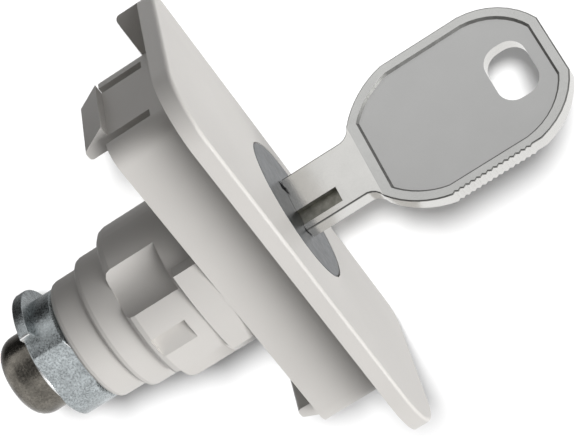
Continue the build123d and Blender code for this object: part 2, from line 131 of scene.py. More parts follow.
class KeySettings(bpy.types.PropertyGroup):
    """Sizes of the key; along it, places are counted from the lock's face."""

    face: size("Lock Face", 2.3, "From the plate's rear face to the lock's face")
    thickness: size("Thickness", 2.6, "Thickness of the stamped blank")
    edge: size("Edge Rounding", 0.16, "Rounding of the outline's edges")
    blade_tip: size("Blade Tip", 22.9, "Where the blade's tip lies")
    blade_half: size("Blade Half Height", 3.5, "Half the height of the blade")
    blade_root: size("Blade Root", 4.25, "Where the blade's cuts end")
    tip_low: size("Tip Low Side", 0.1, "From the blade's middle down to its tip's low side")
    tip_high: size("Tip High Side", 0.7, "From the blade's middle up to its tip's high side")
    tip_back: size("Tip Back", 3.4, "From the blade's middle up to its back at the tip")
    cut_half: size("Cut Half Length", 0.65, "Half the length of a cut's floor")
    cut_first: size("First Cut", 3.3, "From the blade's middle down to the first cut's floor")
    cut_step: size("Cut Step", 0.25, "How much deeper each next cut is, towards the tip")
    shoulder: size("Shoulder", 0.1, "Where the key's shoulder lies")
    shank_half: size("Shank Half Width", 4.05, "Half the width of the shank")
    shank_end: size("Shank Length", 8.3, "Where the neck starts")
    neck_at: size("Neck Place", 9.9, "Where the middle of the neck's arc lies")
    neck_half: size("Neck Half Width", 4.5, "Half the width in the middle of the neck's arc")
    bow_root: size("Bow Root", 10.6, "Where the root of the bow lies")
    root_half: size("Root Half Width", 5.6, "Half the width at the root of the bow")
    flank_at: size("Flank Place", 13.8, "Where the middle of the flank's arc lies")
    flank_half: size("Flank Half Width", 8.6, "Half the width in the middle of the flank's arc")
    bow_half: size("Bow Half Width", 10.35, "Half the width of the bow")
    side_start: size("Side Start", 18.0, "Where the straight sides start")
    side_end: size("Side End", 29.3, "Where the straight sides end")
    nose_at: size("Nose Place", 33.9, "Where the middle of the nose's arc lies")
    nose_half: size("Nose Half Width", 8.75, "Half the width in the middle of the nose's arc")
    bow_front: size("Bow Front", 37.7, "Where the front of the bow lies")
    front_half: size("Front Half Width", 4.25, "Half the width of the bow's straight front")
    reeds: IntProperty(name="Reeds", description="Steps of the reeding", default=29, min=1)
    reed_depth: size("Reed Depth", 0.22, "Depth of the notches along the bow's lower edge")
    rim: size("Rim Width", 1.25, "Width of the raised rim round the bow's field")
    rim_slope: size("Rim Slope", 0.3, "Width of the slope from the rim down to the field")
    field_depth: size("Field Depth", 0.35, "How deep the field lies below the rim")
    hole_at: size("Hole Place", 31.7, "Where the middle of the key-ring hole lies")
    hole_length: size("Hole Length", 8.0, "Length of the key-ring hole across the bow")
    hole_width: size("Hole Width", 5.6, "Width of the key-ring hole")
    hole_round: size("Hole Rounding", 2.4, "Radius of the key-ring hole's corners")
    groove_low: size("Groove Low Side", 0.9, "Low side of the guide groove")
    groove_high: size("Groove High Side", 3.1, "High side of the guide groove")
    groove_depth: size("Groove Depth", 0.9, "Depth of the guide groove")
    groove_front: size("Groove Front", 5.8, "How far the guide groove runs out of the lock")
    groove_back: size("Groove Back", 30.0, "How far the cutter runs, past the blade's tip")


class TailSettings(bpy.types.PropertyGroup):
    """Sizes of the driver, washer and bolt; places lie along the lock's axis, angles run about it."""

    driver_radius: size("Driver Radius", 8.0, "Radius of the driver's collar")
    driver_front: size("Driver Front", 29.95, "Where the driver's front face lies")
    driver_end: size("Driver End", 34.9, "Where the driver's rear face lies")
    driver_edge: size("Driver Edge", 0.35, "Chamfer of the driver's edges")
    flat: size("Driver Flat", 7.1, "From the axis to the driver's flat")
    flat_turn: angle("Flat Turn", 13.0, "How far the flat is turned off the near side")
    flat_break: size("Flat Break", 0.18, "Width of the broken edge round the flat")
    catch_reach: size("Catch Reach", 1.7, "How far the catch flange stands out of the collar")
    catch_front: size("Catch Front", 33.2, "Where the catch flange starts")
    catch_from: angle("Catch From", 58.0, "Where the catch flange begins about the axis")
    catch_to: angle("Catch To", 160.0, "Where the catch flange ends about the axis")
    catch_round: size("Catch Rounding", 0.25, "Rounding of the catch flange's outer edges")
    # the catch flange's worn end is also painted bright as a highlight
    catch_worn_highlight: angle("Catch Wear", 1.0, "How far the worn end of the catch flange reaches")
    tang_radius: size("Tang Radius", 5.05, "Radius of the hole for the plug's tang")
    tang_flat: size("Tang Flat", 3.55, "From the axis to the flats of the hole for the plug's tang")
    washer_radius: size("Washer Radius", 4.7, "Outer radius of the spring washer")
    washer_bore: size("Washer Bore", 2.75, "Inner radius of the spring washer")
    washer_thickness: size("Washer Thickness", 0.4, "Thickness of the spring washer")
    washer_gap: size("Washer Gap", 0.7, "Width of the split in the spring washer")
    washer_edge: size("Washer Edge", 0.06, "Rounding of the spring washer's edges")
    head_radius: size("Head Radius", 5.6, "Radius of the bolt's head")
    head_end: size("Head End", 40.7, "Where the bolt's head ends")
    head_dome: size("Head Dome", 2.5, "Radius of the rounding at the rear of the bolt's head")
    head_edge: size("Head Edge", 0.4, "Rounding at the front of the bolt's head")
    # the bright ring along the head's front rounding is a painted highlight
    head_highlight: size("Head Wear", 0.35, "How far the bright ring reaches along that rounding")
    shank_radius: size("Bolt Shank Radius", 2.1, "Radius of the bolt's core")
    shank_front: size("Bolt Tip", 24.0, "Where the bolt's shank starts")
    shank_bevel: size("Bolt Tip Bevel", 0.3, "Bevel at the tip of the bolt's shank")
    shank_root: size("Bolt Shank Root", 0.2, "Bevel where the shank meets the head")
    hex_flats: size("Socket Flats", 5.0, "Width across the flats of the bolt's socket")
    hex_depth: size("Socket Depth", 2.6, "Depth of the bolt's socket")


class SpringSettings(bpy.types.PropertyGroup):
    """Sizes of the small springs under the wafers."""

    radius: size("Spring Radius", 0.65, "Outer radius of a coil")
    wire: size("Wire", 0.24, "Thickness of the wire")
    at: size("Spring Place", 5.1, "From the axis to the middle of a coil")
    low: size("Spring Foot", 3.0, "How far below the axis a coil starts")
    height: size("Spring Height", 3.2, "Height of a coil")
    first: size("First Spring", 3.6, "Where the first spring stands along the lock's axis")
    pitch: size("Spring Pitch", 2.5, "From one spring to the next")
    turns: FloatProperty(name="Spring Turns", description="Number of turns in a coil", default=4.5, min=1.0)


class StageSettings(bpy.types.PropertyGroup):
    """Camera, lamps and floor."""

    camera_place: FloatVectorProperty(
        name="Camera Place", description="Where the camera stands, on the lock's tail and near side",
        default=(0.1117, -0.0370, 0.1935), subtype="TRANSLATION", unit="LENGTH")
    camera_aim: FloatVectorProperty(
        name="Camera Aim", description="The point that the camera looks at",
        default=(-0.0008, -0.0008, 0.0), subtype="TRANSLATION", unit="LENGTH")
    camera_up: FloatVectorProperty(
        name="Camera Up", description="The direction that stands upright in the picture",
        default=(0.6900, -0.5240, -0.4993), subtype="DIRECTION")
    camera_near: size("Camera Near", 5.0, "Nearest distance that the camera sees")
    floor_half: size("Floor Half Width", 1500.0, "Half the side of the square floor")
    key_lamp: strength("Key Lamp", 2.8, "Strength of the high, soft main light")
    front_lamp: strength("Front Lamp", 1.0, "Strength of the broad light on the plate's face")
    floor_lamp: strength("Floor Lamp", 4.0, "Strength of the light on the card under the lock")
    fill: strength("Fill", 0.17, "Strength of the light that comes from all round")


class FinishSettings(bpy.types.PropertyGroup):
    """Colours of the finishes."""

    plastic: tint("Housing Grey", "#D0CDC9", "Colour of the moulded housing")
    plug_zinc: tint("Plug Zinc", "#54575A", "Colour of the tumbled zinc plug")
    driver_zinc: tint("Driver Zinc", "#AEB4B6", "Colour of the galvanised tail driver")
    # worn bare edges, painted bright as highlights; the bolt head's bright ring is a painted highlight
    worn_metal_and_highlight: tint("Worn Metal", "#F0F1F1", "Colour of edges that are worn bare")
    bolt_steel: tint("Bolt Steel", "#77736C", "Colour of the dark tail bolt")
    key_nickel: tint("Key Nickel", "#DEDDDA", "Colour of the nickel-plated key")
    key_field: tint("Key Field", "#C4C4C3", "Colour of the satin field in the key's bow")
    key_rim: tint("Key Rim", "#CBCBC9", "Colour of the raised rim round the bow")
    # painted shade: a dark grey along the creases at the rim's foot and the key's rounded edges
    key_crease_shade: tint("Key Line", "#6E6E6C", "Colour of the dull lines along the key's edges")
    # painted shade: the groove's darker grey stands for the shade inside it
    key_groove_shaded: tint("Key Groove", "#98978F", "Colour of the milled guide groove")
    wafer_brass: tint("Wafer Brass", "#CDA860", "Colour of the stamped wafers")
    spring_steel: tint("Spring Steel", "#A6A7A9", "Colour of the drawn spring wire")
    card: tint("Card", "#F8F8F8", "Colour of the card under the lock")


class LockSettings(bpy.types.PropertyGroup):
    """All settings of the cabinet lock."""

    stage: PointerProperty(type=StageSettings, name="Stage", description="Camera, lamps and floor")
    finish: PointerProperty(type=FinishSettings, name="Finishes", description="Colours of the finishes")
    key: PointerProperty(type=KeySettings, name="Key", description="Sizes of the key")
    tail: PointerProperty(type=TailSettings, name="Tail", description="Sizes of the pieces at the tail")
    spring: PointerProperty(type=SpringSettings, name="Springs", description="Sizes of the wafer springs")


def add_node(tree, kind, inputs=None, **settings):
    """Adds one node with its settings; an input is a value, or a socket that is linked to it."""
    node = tree.nodes.new(kind)
    for name, value in settings.items():
        setattr(node, name, value)
    for name, value in (inputs or {}).items():
        if isinstance(value, bpy.types.NodeSocket):
            tree.links.new(value, node.inputs[name])
        else:
            node.inputs[name].default_value = value
    return node


def new_material(name):
    """An empty node material and its tree, output and object coordinates."""
    material = bpy.data.materials.new(name)
    material.use_nodes = True
    tree = material.node_tree
    tree.nodes.clear()
    output = add_node(tree, "ShaderNodeOutputMaterial")
    place = add_node(tree, "ShaderNodeTexCoord").outputs["Object"]
    return material, tree, output, place


def across_mm(millimetres):
    """Scale of a noise whose features are about this many millimetres wide."""
    return 1.0 / (millimetres * MM)


def shade_pair(tree, factor, low, high, colour):
    """A colour that swings between two brightnesses of itself as a noise goes from low to high."""
    ramp = add_node(tree, "ShaderNodeMapRange",
                    {"Value": factor, "From Min": NOISE_LOW, "From Max": NOISE_HIGH,
                     "To Min": low, "To Max": high})
    shaded = add_node(tree, "ShaderNodeVectorMath",
                      {0: colour, "Scale": ramp.outputs["Result"]}, operation="SCALE")
    return shaded.outputs["Vector"]


def moulded_polyamide(colour):
    """Polyamide, injection moulded: an even light grey skin with a spark-eroded grain, drawn coarser than
    it is so that it shows, a soft satin sheen and faint cloudiness where the melt flowed."""
    material, tree, output, place = new_material("polyamide_moulded_satin")
    flow = add_node(tree, "ShaderNodeTexNoise", {"Vector": place, "Scale": across_mm(14.0), "Detail": 3.0})
    grain = add_node(tree, "ShaderNodeTexNoise", {"Vector": place, "Scale": across_mm(0.22), "Detail": 2.0})
    paint = shade_pair(tree, flow.outputs["Fac"], 0.97, 1.02, colour)
    rough = add_node(tree, "ShaderNodeMapRange",
                     {"Value": grain.outputs["Fac"], "To Min": 0.40, "To Max": 0.52})
    bump = add_node(tree, "ShaderNodeBump",
                    {"Height": grain.outputs["Fac"], "Strength": 0.35, "Distance": 0.02 * MM})
    shader = add_node(tree, "ShaderNodeBsdfPrincipled",
                      {"Base Color": paint, "Roughness": rough.outputs["Result"], "IOR": 1.53,
                       "Normal": bump.outputs["Normal"]})
    tree.links.new(shader.outputs["BSDF"], output.inputs["Surface"])
    return material


def metal(name, colour, rough, grain, depth, tone, blotch, speck=0.0):
    """A bare metal. Its grain, so many millimetres across and deep, gives the bump and the roughness,
    from low to high; wider blotches give the tone, from dark to light, and specks the sparkle."""
    material, tree, output, place = new_material(name)
    fine = add_node(tree, "ShaderNodeTexNoise",
                    {"Vector": place, "Scale": across_mm(grain), "Detail": 4.0, "Roughness": 0.6})
    wide = add_node(tree, "ShaderNodeTexNoise",
                    {"Vector": place, "Scale": across_mm(blotch), "Detail": 3.0})
    paint = shade_pair(tree, wide.outputs["Fac"], *tone, colour)
    paint = shade_pair(tree, fine.outputs["Fac"], 1.0 - speck, 1.0 + speck, paint)
    gloss = add_node(tree, "ShaderNodeMapRange",
                     {"Value": fine.outputs["Fac"], "From Min": NOISE_LOW, "From Max": NOISE_HIGH,
                      "To Min": rough[0], "To Max": rough[1]})
    bump = add_node(tree, "ShaderNodeBump",
                    {"Height": fine.outputs["Fac"], "Strength": 0.6, "Distance": depth * MM})
    shader = add_node(tree, "ShaderNodeBsdfPrincipled",
                      {"Base Color": paint, "Metallic": 1.0, "Roughness": gloss.outputs["Result"],
                       "Normal": bump.outputs["Normal"]})
    tree.links.new(shader.outputs["BSDF"], output.inputs["Surface"])
    return material


def nickel_plate(colour):
    """Nickel-plated brass, stamped and polished: bright, cool and smooth, with faint tumbling marks,
    drawn wider than they are so that they show."""
    return metal("nickel_plate_polished", colour, rough=(0.12, 0.22), grain=0.25, depth=0.006,
                 tone=(0.96, 1.02), blotch=4.0)


def nickel_field(colour):
    """Nickel plate over a stamped field: an even satin grey, duller than the polished rim."""
    return metal("nickel_plate_satin", colour, rough=(0.32, 0.42), grain=0.2, depth=0.01,
                 tone=(0.98, 1.01), blotch=5.0)


def nickel_rim(colour):
    """Nickel plate on the raised rim: a smooth mid grey with faint tumbling marks."""
    return metal("nickel_plate_rim", colour, rough=(0.2, 0.26), grain=0.5, depth=0.003,
                 tone=(0.97, 1.02), blotch=3.0)


def nickel_crease_shade(colour):
    """The narrow slope at the rim's foot and the outline's rounded edge, left dull, with a dark grey line
    of painted shade.
    """
    return metal("nickel_crease_dull", colour, rough=(0.4, 0.5), grain=0.2, depth=0.01,
                 tone=(0.8, 1.1), blotch=1.0)


def milled_groove_shaded(colour):
    """The groove milled through the blank: dull walls with the cutter's fine marks, painted a darker grey
    for the shade inside it.
    """
    return metal("nickel_groove_milled", colour, rough=(0.35, 0.55), grain=0.18, depth=0.03,
                 tone=(0.75, 1.1), blotch=0.7)


def tumbled_zinc(colour):
    """Zinc, die cast and tumbled: a dark cool grey, mottled all over by the stones' small dents."""
    return metal("zinc_die_cast_tumbled", colour, rough=(0.3, 0.45), grain=0.7, depth=0.06,
                 tone=(0.75, 1.25), blotch=1.6, speck=0.5)


def galvanised_zinc(colour):
    """Zinc, galvanised: a cool grey skin, blotched where it dulled, with fine bright specks all over."""
    return metal("zinc_galvanised", colour, rough=(0.2, 0.42), grain=0.24, depth=0.04,
                 tone=(0.74, 1.12), blotch=1.8, speck=0.42)


def worn_zinc_and_highlight(colour):
    """Zinc worn bare on its sharp edges, painted bright as a highlight too: bright, clean and nearly
    smooth.
    """
    return metal("zinc_worn_bright", colour, rough=(0.12, 0.3), grain=0.3, depth=0.03,
                 tone=(0.85, 1.05), blotch=0.8, speck=0.1)


def dark_steel(colour):
    """Steel, oiled and darkened: brown grey, with worn bright patches and a fine speckle."""
    return metal("steel_oiled_dark", colour, rough=(0.14, 0.34), grain=0.28, depth=0.03,
                 tone=(0.65, 1.3), blotch=1.7, speck=0.3)


def stamped_brass(colour):
    """Brass, stamped and rumbled: an even warm yellow with a soft gloss."""
    return metal("brass_stamped", colour, rough=(0.25, 0.35), grain=0.3, depth=0.01,
                 tone=(0.9, 1.05), blotch=2.0)


def spring_wire(colour):
    """Spring steel, drawn: clean, cool and bright, with fine drawing marks."""
    return metal("spring_steel_drawn", colour, rough=(0.2, 0.3), grain=0.2, depth=0.01,
                 tone=(0.9, 1.05), blotch=1.0)


def dress(node, material):
    """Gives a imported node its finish."""
    piece = frame["nodes"][node]
    piece.data.materials.clear()
    piece.data.materials.append(material)


class OBJECT_OT_lock_finishes(bpy.types.Operator):
    """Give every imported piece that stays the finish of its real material"""

    bl_idname = "object.lock_finishes"
    bl_label = "Lock Finishes"

    def execute(self, context):
        finish = context.scene.cabinet_lock.finish
        dress("housing", moulded_polyamide(finish.plastic))
        dress("plug", tumbled_zinc(finish.plug_zinc))
        brass = stamped_brass(finish.wafer_brass)
        for name in WAFERS:
            dress(name, brass)
        return {"FINISHED"}


def only(piece):
    """Selects one object and makes it the active one."""
    bpy.ops.object.select_all(action="DESELECT")
    piece.select_set(True)
    bpy.context.view_layer.objects.active = piece


def settle():
    """Applies the selected object's place, turn and scale to its mesh."""
    bpy.ops.object.transform_apply(location=True, rotation=True, scale=True)


def edit():
    """Opens the active object for editing."""
    bpy.ops.object.mode_set(mode="EDIT")


def close():
    """Ends the editing of the active object."""
    bpy.ops.object.mode_set(mode="OBJECT")


def open_piece(name):
    """Names the primitive just added, applies its place and opens it for editing."""
    piece = bpy.context.object
    piece.name = piece.data.name = name
    settle()
    edit()
    bpy.ops.mesh.select_mode(type="VERT")
    return piece


def pick(kind, test):
    """Selects the verts, edges or faces of the mesh in edit mode that pass a test, and nothing else."""
    bpy.ops.mesh.select_mode(type={"verts": "VERT", "edges": "EDGE", "faces": "FACE"}[kind])
    bpy.ops.mesh.select_all(action="DESELECT")
    mesh = bmesh.from_edit_mesh(bpy.context.object.data)
    mesh.normal_update()
    for part in getattr(mesh, kind):
        if test(part):
            part.select_set(True)
    mesh.select_flush_mode()
    bmesh.update_edit_mesh(bpy.context.object.data)


def face_outwards():
    """Turns all faces of the mesh in edit mode outwards."""
    bpy.ops.mesh.select_all(action="SELECT")
    bpy.ops.mesh.normals_make_consistent(inside=False)


def coat(piece, material):
    """Gives the piece in edit mode one more material, for the faces that are selected."""
    piece.data.materials.append(material)
    piece.active_material_index = len(piece.data.materials) - 1
    bpy.ops.object.material_slot_assign()


def apply_modifier(piece, kind, **settings):
    """Adds a modifier to a piece and applies it."""
    only(piece)
    bpy.ops.object.modifier_add(type=kind)
    modifier = piece.modifiers[-1]
    for name, value in settings.items():
        setattr(modifier, name, value)
    bpy.ops.object.modifier_apply(modifier=modifier.name)


def cut_out(piece, cutter):
    """Cuts the cutter's shape out of a piece, and deletes the cutter."""
    apply_modifier(piece, "BOOLEAN", object=cutter, operation="DIFFERENCE", solver="EXACT")
    bpy.data.objects.remove(cutter, do_unlink=True)


def stand_for(piece, node, turn=0.0, smooth=30):
    """Turns a piece about the lock's axis, smooths it where its faces meet at less than so many degrees,
    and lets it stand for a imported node."""
    only(piece)
    piece.rotation_euler = (0, turn, 0)
    settle()
    bpy.ops.object.shade_smooth_by_angle(angle=math.radians(smooth))
    apply_modifier(piece, "WEIGHTED_NORMAL", keep_sharp=True)
    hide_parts(node)
    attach(piece, BODY_OF[node])


def centre(face):
    """The middle of a face."""
    return face.calc_center_median()


def radius_of(point):
    """Distance of a point from the lock's axis."""
    return math.hypot(point.x, point.z)


def angle_of(point):
    """Angle of a point about the lock's axis, from +Z towards +X."""
    return math.atan2(point.x, point.z) % (2 * math.pi)


def turned(name, profile, steps=CIRCLE_STEPS):
    """Turns a profile of (radius, depth) pairs about the lock's axis: a ring is drawn on and resized
    from station to station, and both ends are closed."""
    radius, depth = profile[0]
    bpy.ops.mesh.primitive_circle_add(vertices=steps, radius=radius, rotation=TO_AXIS,
                                      location=(0, depth, 0))
    piece = open_piece(name)
    bpy.ops.mesh.select_all(action="SELECT")
    for next_radius, next_depth in profile[1:]:
        bpy.ops.mesh.extrude_region_move(TRANSFORM_OT_translate={"value": (0, next_depth - depth, 0)})
        ratio = next_radius / radius
        bpy.ops.transform.resize(value=(ratio, 1, ratio), center_override=(0, next_depth, 0))
        radius, depth = next_radius, next_depth
    bpy.ops.mesh.edge_face_add()
    pick("verts", lambda v: abs(v.co.y - profile[0][1]) < SLIVER / 4)
    bpy.ops.mesh.edge_face_add()
    face_outwards()
    return piece


def rounded_end(radius, end, rounding, steps):
    """Stations of a turned corner, rounded from its side to its end."""
    turns = [math.pi / 2 * i / steps for i in range(steps + 1)]
    return [(radius - rounding * (1 - math.cos(a)), end - rounding * (1 - math.sin(a))) for a in turns]


def arc_through(first, second, last, steps):
    """Stations on the circle through three points, without the first point."""
    (ax, ay), (bx, by), (cx, cy) = first, second, last
    a, b, c = (x**2 + y**2 for x, y in (first, second, last))
    turn = 2 * (ax * (by - cy) + bx * (cy - ay) + cx * (ay - by))
    x = (a * (by - cy) + b * (cy - ay) + c * (ay - by)) / turn
    y = (a * (cx - bx) + b * (ax - cx) + c * (bx - ax)) / turn
    start = math.atan2(ay - y, ax - x)
    sweep = (math.atan2(cy - y, cx - x) - start + math.pi) % (2 * math.pi) - math.pi
    radius = math.hypot(ax - x, ay - y)
    angles = [start + sweep * i / steps for i in range(1, steps + 1)]
    return [(x + radius * math.cos(each), y + radius * math.sin(each)) for each in angles]


def strip(name, stations):
    """Draws a flat sheet on from station to station, each given as (along, low side, high side)."""
    bpy.ops.mesh.primitive_plane_add(size=1)
    piece = open_piece(name)
    for number, (next_along, next_low, next_high) in enumerate(stations):
        if number < 2:
            # the new plane's own two ends go to the first two stations
            along, low, high = number - 0.5, -0.5, 0.5
            pick("verts", lambda v: abs(v.co.y - along) < MM)
            bpy.ops.transform.translate(value=(0, next_along - along, 0))
        else:
            bpy.ops.mesh.extrude_region_move(TRANSFORM_OT_translate={"value": (0, next_along - along, 0)})
        ratio = (next_high - next_low) / (high - low)
        halfway = (low + high) / 2
        bpy.ops.transform.resize(value=(ratio, 1, 1), center_override=(halfway, next_along, 0))
        bpy.ops.transform.translate(value=((next_low + next_high) / 2 - halfway, 0, 0))
        along, low, high = next_along, next_low, next_high
    return piece


def block(name, low, high):
    """A plain cutter between two corners."""
    low, high = Vector(low), Vector(high)
    bpy.ops.mesh.primitive_cube_add(size=1, location=(low + high) / 2, scale=high - low)
    piece = open_piece(name)
    close()
    return piece


def blade_stations(key, spring):
    """The cut blade from its tip to the shoulder, as (along, low side, high side), with a cut for each
    wafer; the cut next to the lock's face is the shallowest."""
    stations = [(-key.blade_tip, -key.tip_low, key.tip_high)]
    cuts = range(len(WAFERS))
    for number in reversed(cuts):
        along = -(spring.first + number * spring.pitch + key.face)
        floor = number * key.cut_step - key.cut_first
        back = key.tip_back if number == cuts[-1] else key.blade_half
        stations.append((along - key.cut_half, floor, back))
        stations.append((along + key.cut_half, floor, key.blade_half))
    for along in (-key.blade_root, key.shoulder):
        stations.append((along, -key.blade_half, key.blade_half))
    return stations


def bow_stations(key):
    """The shank and the bow from the shoulder to the front, mirrored about the middle."""
    root = (key.bow_root, key.root_half)
    front = (key.bow_front, key.front_half)
    length = key.side_end - key.side_start
    sides = [(key.side_start + length * i / key.reeds, key.bow_half) for i in range(key.reeds + 1)]
    halves = [(key.shoulder + SLIVER, key.shank_half), (key.shank_end, key.shank_half)]
    halves += arc_through(halves[-1], (key.neck_at, key.neck_half), root, NECK_STEPS)
    halves += arc_through(root, (key.flank_at, key.flank_half), sides[0], BOW_STEPS)
    halves += sides[1:]
    halves += arc_through(sides[-1], (key.nose_at, key.nose_half), front, BOW_STEPS)
    return [(along, -half, half) for along, half in halves]


def raise_rim(key):
    """Sinks the bow's field below its rim, with a slope between them."""
    pick("faces", lambda f: centre(f).y > key.bow_root)
    bpy.ops.mesh.inset(thickness=key.rim, depth=0, use_even_offset=True)
    bpy.ops.mesh.inset(thickness=key.rim_slope, depth=-key.field_depth, use_even_offset=True)


def notch_reeds(key):
    """Notches the bow's straight lower side at every other step of the reeding."""
    step = (key.side_end - key.side_start) / key.reeds
    pick("verts", lambda v: abs(v.co.x - key.bow_half) < SLIVER
         and round((v.co.y - key.side_start) / step) % 2 == 1)
    bpy.ops.transform.translate(value=(-key.reed_depth, 0, 0))


def thicken(piece, key):
    """Gives the flat blank its upper half, with softly rounded edges, and mirrors it for the lower."""
    top = key.thickness / 2
    step_at = key.shoulder + SLIVER / 2

    def outline(edge):
        """Between the level top and an upright side, apart from the short step at the shoulder."""
        first, last = (v.co for v in edge.verts)
        return (max(abs(first.z - top), abs(last.z - top)) < SLIVER
                and any(centre(f).z < top - SLIVER for f in edge.link_faces)
                and any(abs(f.normal.z) < UPRIGHT for f in edge.link_faces)
                and abs((first.y + last.y) / 2 - step_at) > 2 * SLIVER)

    bpy.ops.mesh.select_all(action="SELECT")
    bpy.ops.transform.translate(value=(0, 0, top))
    pick("edges", lambda e: len(e.link_faces) == 1)
    bpy.ops.mesh.extrude_region_move(TRANSFORM_OT_translate={"value": (0, 0, -top)})
    pick("edges", outline)
    bpy.ops.mesh.bevel(offset=key.edge, segments=2, affect="EDGES", clamp_overlap=True)
    close()
    apply_modifier(piece, "MIRROR", use_axis=(False, False, True), use_mirror_merge=True,
                   merge_threshold=MERGE)
    edit()
    face_outwards()
    close()


def cut_hole_and_groove(piece, key):
    """Cuts the key-ring hole, with round corners, and the guide groove out of the key."""
    top = key.thickness / 2
    hole = block("hole", (-key.hole_length / 2, key.hole_at - key.hole_width / 2, -2 * top),
                 (key.hole_length / 2, key.hole_at + key.hole_width / 2, 2 * top))
    edit()
    pick("edges", lambda e: abs(e.verts[0].co.z - e.verts[1].co.z) > top)
    bpy.ops.mesh.bevel(offset=key.hole_round, segments=BOW_STEPS, affect="EDGES")
    close()
    cut_out(piece, hole)
    cut_out(piece, block("groove", (key.groove_low, -key.groove_back, top - key.groove_depth),
                         (key.groove_high, key.groove_front, 2 * top)))


def key_zones(key, finish):
    """The finishes of the key, each with the test of the faces that it is for."""
    top = key.thickness / 2
    field = top - key.field_depth
    slope = top - key.field_depth / 2

    def rim(face):
        at = centre(face)
        return abs(face.normal.z) > LEVEL and at.y > key.bow_root and abs(at.z) > top - SLIVER

    def crease(face):
        at = centre(face)
        return (UPRIGHT < abs(face.normal.z) < LEVEL and at.y > key.groove_front / 2
                and abs(at.z) > slope - key.edge / 2)

    def sunk(face):
        at = centre(face)
        return abs(abs(at.z) - field) < SLIVER and at.y > key.bow_root

    def groove(face):
        at = centre(face)
        return (key.groove_low - SLIVER < at.x < key.groove_high + SLIVER
                and at.y < key.groove_front + SLIVER
                and top - key.groove_depth - SLIVER < at.z < top - SLIVER)

    return (
        (nickel_plate(finish.key_nickel), lambda f: True),
        (nickel_rim(finish.key_rim), rim),
        # painted shade in the creases at the rim's foot and along the rounded outline
        (nickel_crease_shade(finish.key_crease_shade), crease),
        (nickel_field(finish.key_field), sunk),
        # painted shade inside the groove, on its dull milled walls
        (milled_groove_shaded(finish.key_groove_shaded), groove),
    )


class OBJECT_OT_lock_key(bpy.types.Operator):
    """Shape the key: stamped blank with raised rim, reeding, ring hole, guide groove and cut blade"""

    bl_idname = "object.lock_key"
    bl_label = "Key"

    def execute(self, context):
        lock = context.scene.cabinet_lock
        key = lock.key
        piece = strip("key_nickel", blade_stations(key, lock.spring) + bow_stations(key))
        raise_rim(key)
        notch_reeds(key)
        thicken(piece, key)
        cut_hole_and_groove(piece, key)
        edit()
        for material, test in key_zones(key, lock.finish):
            pick("faces", test)
            coat(piece, material)
        close()
        # from its own plane, whose z stands square to the blade, to its place in the lock
        piece.matrix_world = Matrix(((0, 0, 1, 0), (0, -1, 0, -key.face), (1, 0, 0, 0), (0, 0, 0, 1)))
        only(piece)
        settle()
        stand_for(piece, "key", turn=KEY_TURN, smooth=20)
        return {"FINISHED"}


def draw_catch(tail):
    """Draws the catch flange out of one sector of the collar's rear, and rounds its outer edges."""
    radius, chamfer = tail.driver_radius, tail.driver_edge
    halfway = (tail.catch_front + tail.driver_end - chamfer / 2) / 2
    step = 2 * math.pi / COLLAR_STEPS

    def sector(face):
        at = centre(face)
        return (abs(at.y - halfway) < chamfer and radius_of(at) > radius - chamfer / 2
                and tail.catch_from < angle_of(at) < tail.catch_to)

    def outer(edge):
        """Round the flange's outer face: along its sides or at one of its two ends."""
        first, last = (v.co for v in edge.verts)
        ends = (tail.catch_from, tail.catch_to)
        return (min(radius_of(first), radius_of(last)) > radius + tail.catch_reach / 2
                and (abs(first.y - last.y) < SLIVER
                     or any(abs(angle_of(first) - end) < step / 2 for end in ends)))

    pick("faces", sector)
    bpy.ops.mesh.extrude_region_shrink_fatten(TRANSFORM_OT_shrink_fatten={"value": tail.catch_reach})
    pick("edges", outer)
    bpy.ops.mesh.bevel(offset=tail.catch_round, segments=2, affect="EDGES")


def mill_flat(tail):
    """Mills the flat off the collar and breaks the edge round it, which stays selected."""
    normal = Vector((math.sin(tail.flat_turn), 0, math.cos(tail.flat_turn)))
    bpy.ops.mesh.select_all(action="SELECT")
    bpy.ops.mesh.bisect(plane_co=normal * tail.flat, plane_no=normal, use_fill=True, clear_outer=True)
    face_outwards()
    pick("edges", lambda e: all(abs(v.co.dot(normal) - tail.flat) < SLIVER for v in e.verts)
         and len(e.link_faces) == 2 and e.calc_face_angle(0) > SHARP)
    bpy.ops.mesh.bevel(offset=tail.flat_break, segments=2, affect="EDGES")


def tang_hole(tail):
    """The cutter for the plug's tang: round with two flats, and turned as the key is."""
    cutter = turned("tang_hole", [(tail.tang_radius, tail.driver_front - MM),
                                  (tail.tang_radius, tail.driver_end + MM)], steps=HOLE_STEPS)
    for side in (1, -1):
        bpy.ops.mesh.select_all(action="SELECT")
        bpy.ops.mesh.bisect(plane_co=(side * tail.tang_flat, 0, 0), plane_no=(side, 0, 0),
                            use_fill=True, clear_outer=True)
    close()
    cutter.rotation_euler = (0, KEY_TURN, 0)
    only(cutter)
    settle()
    return cutter


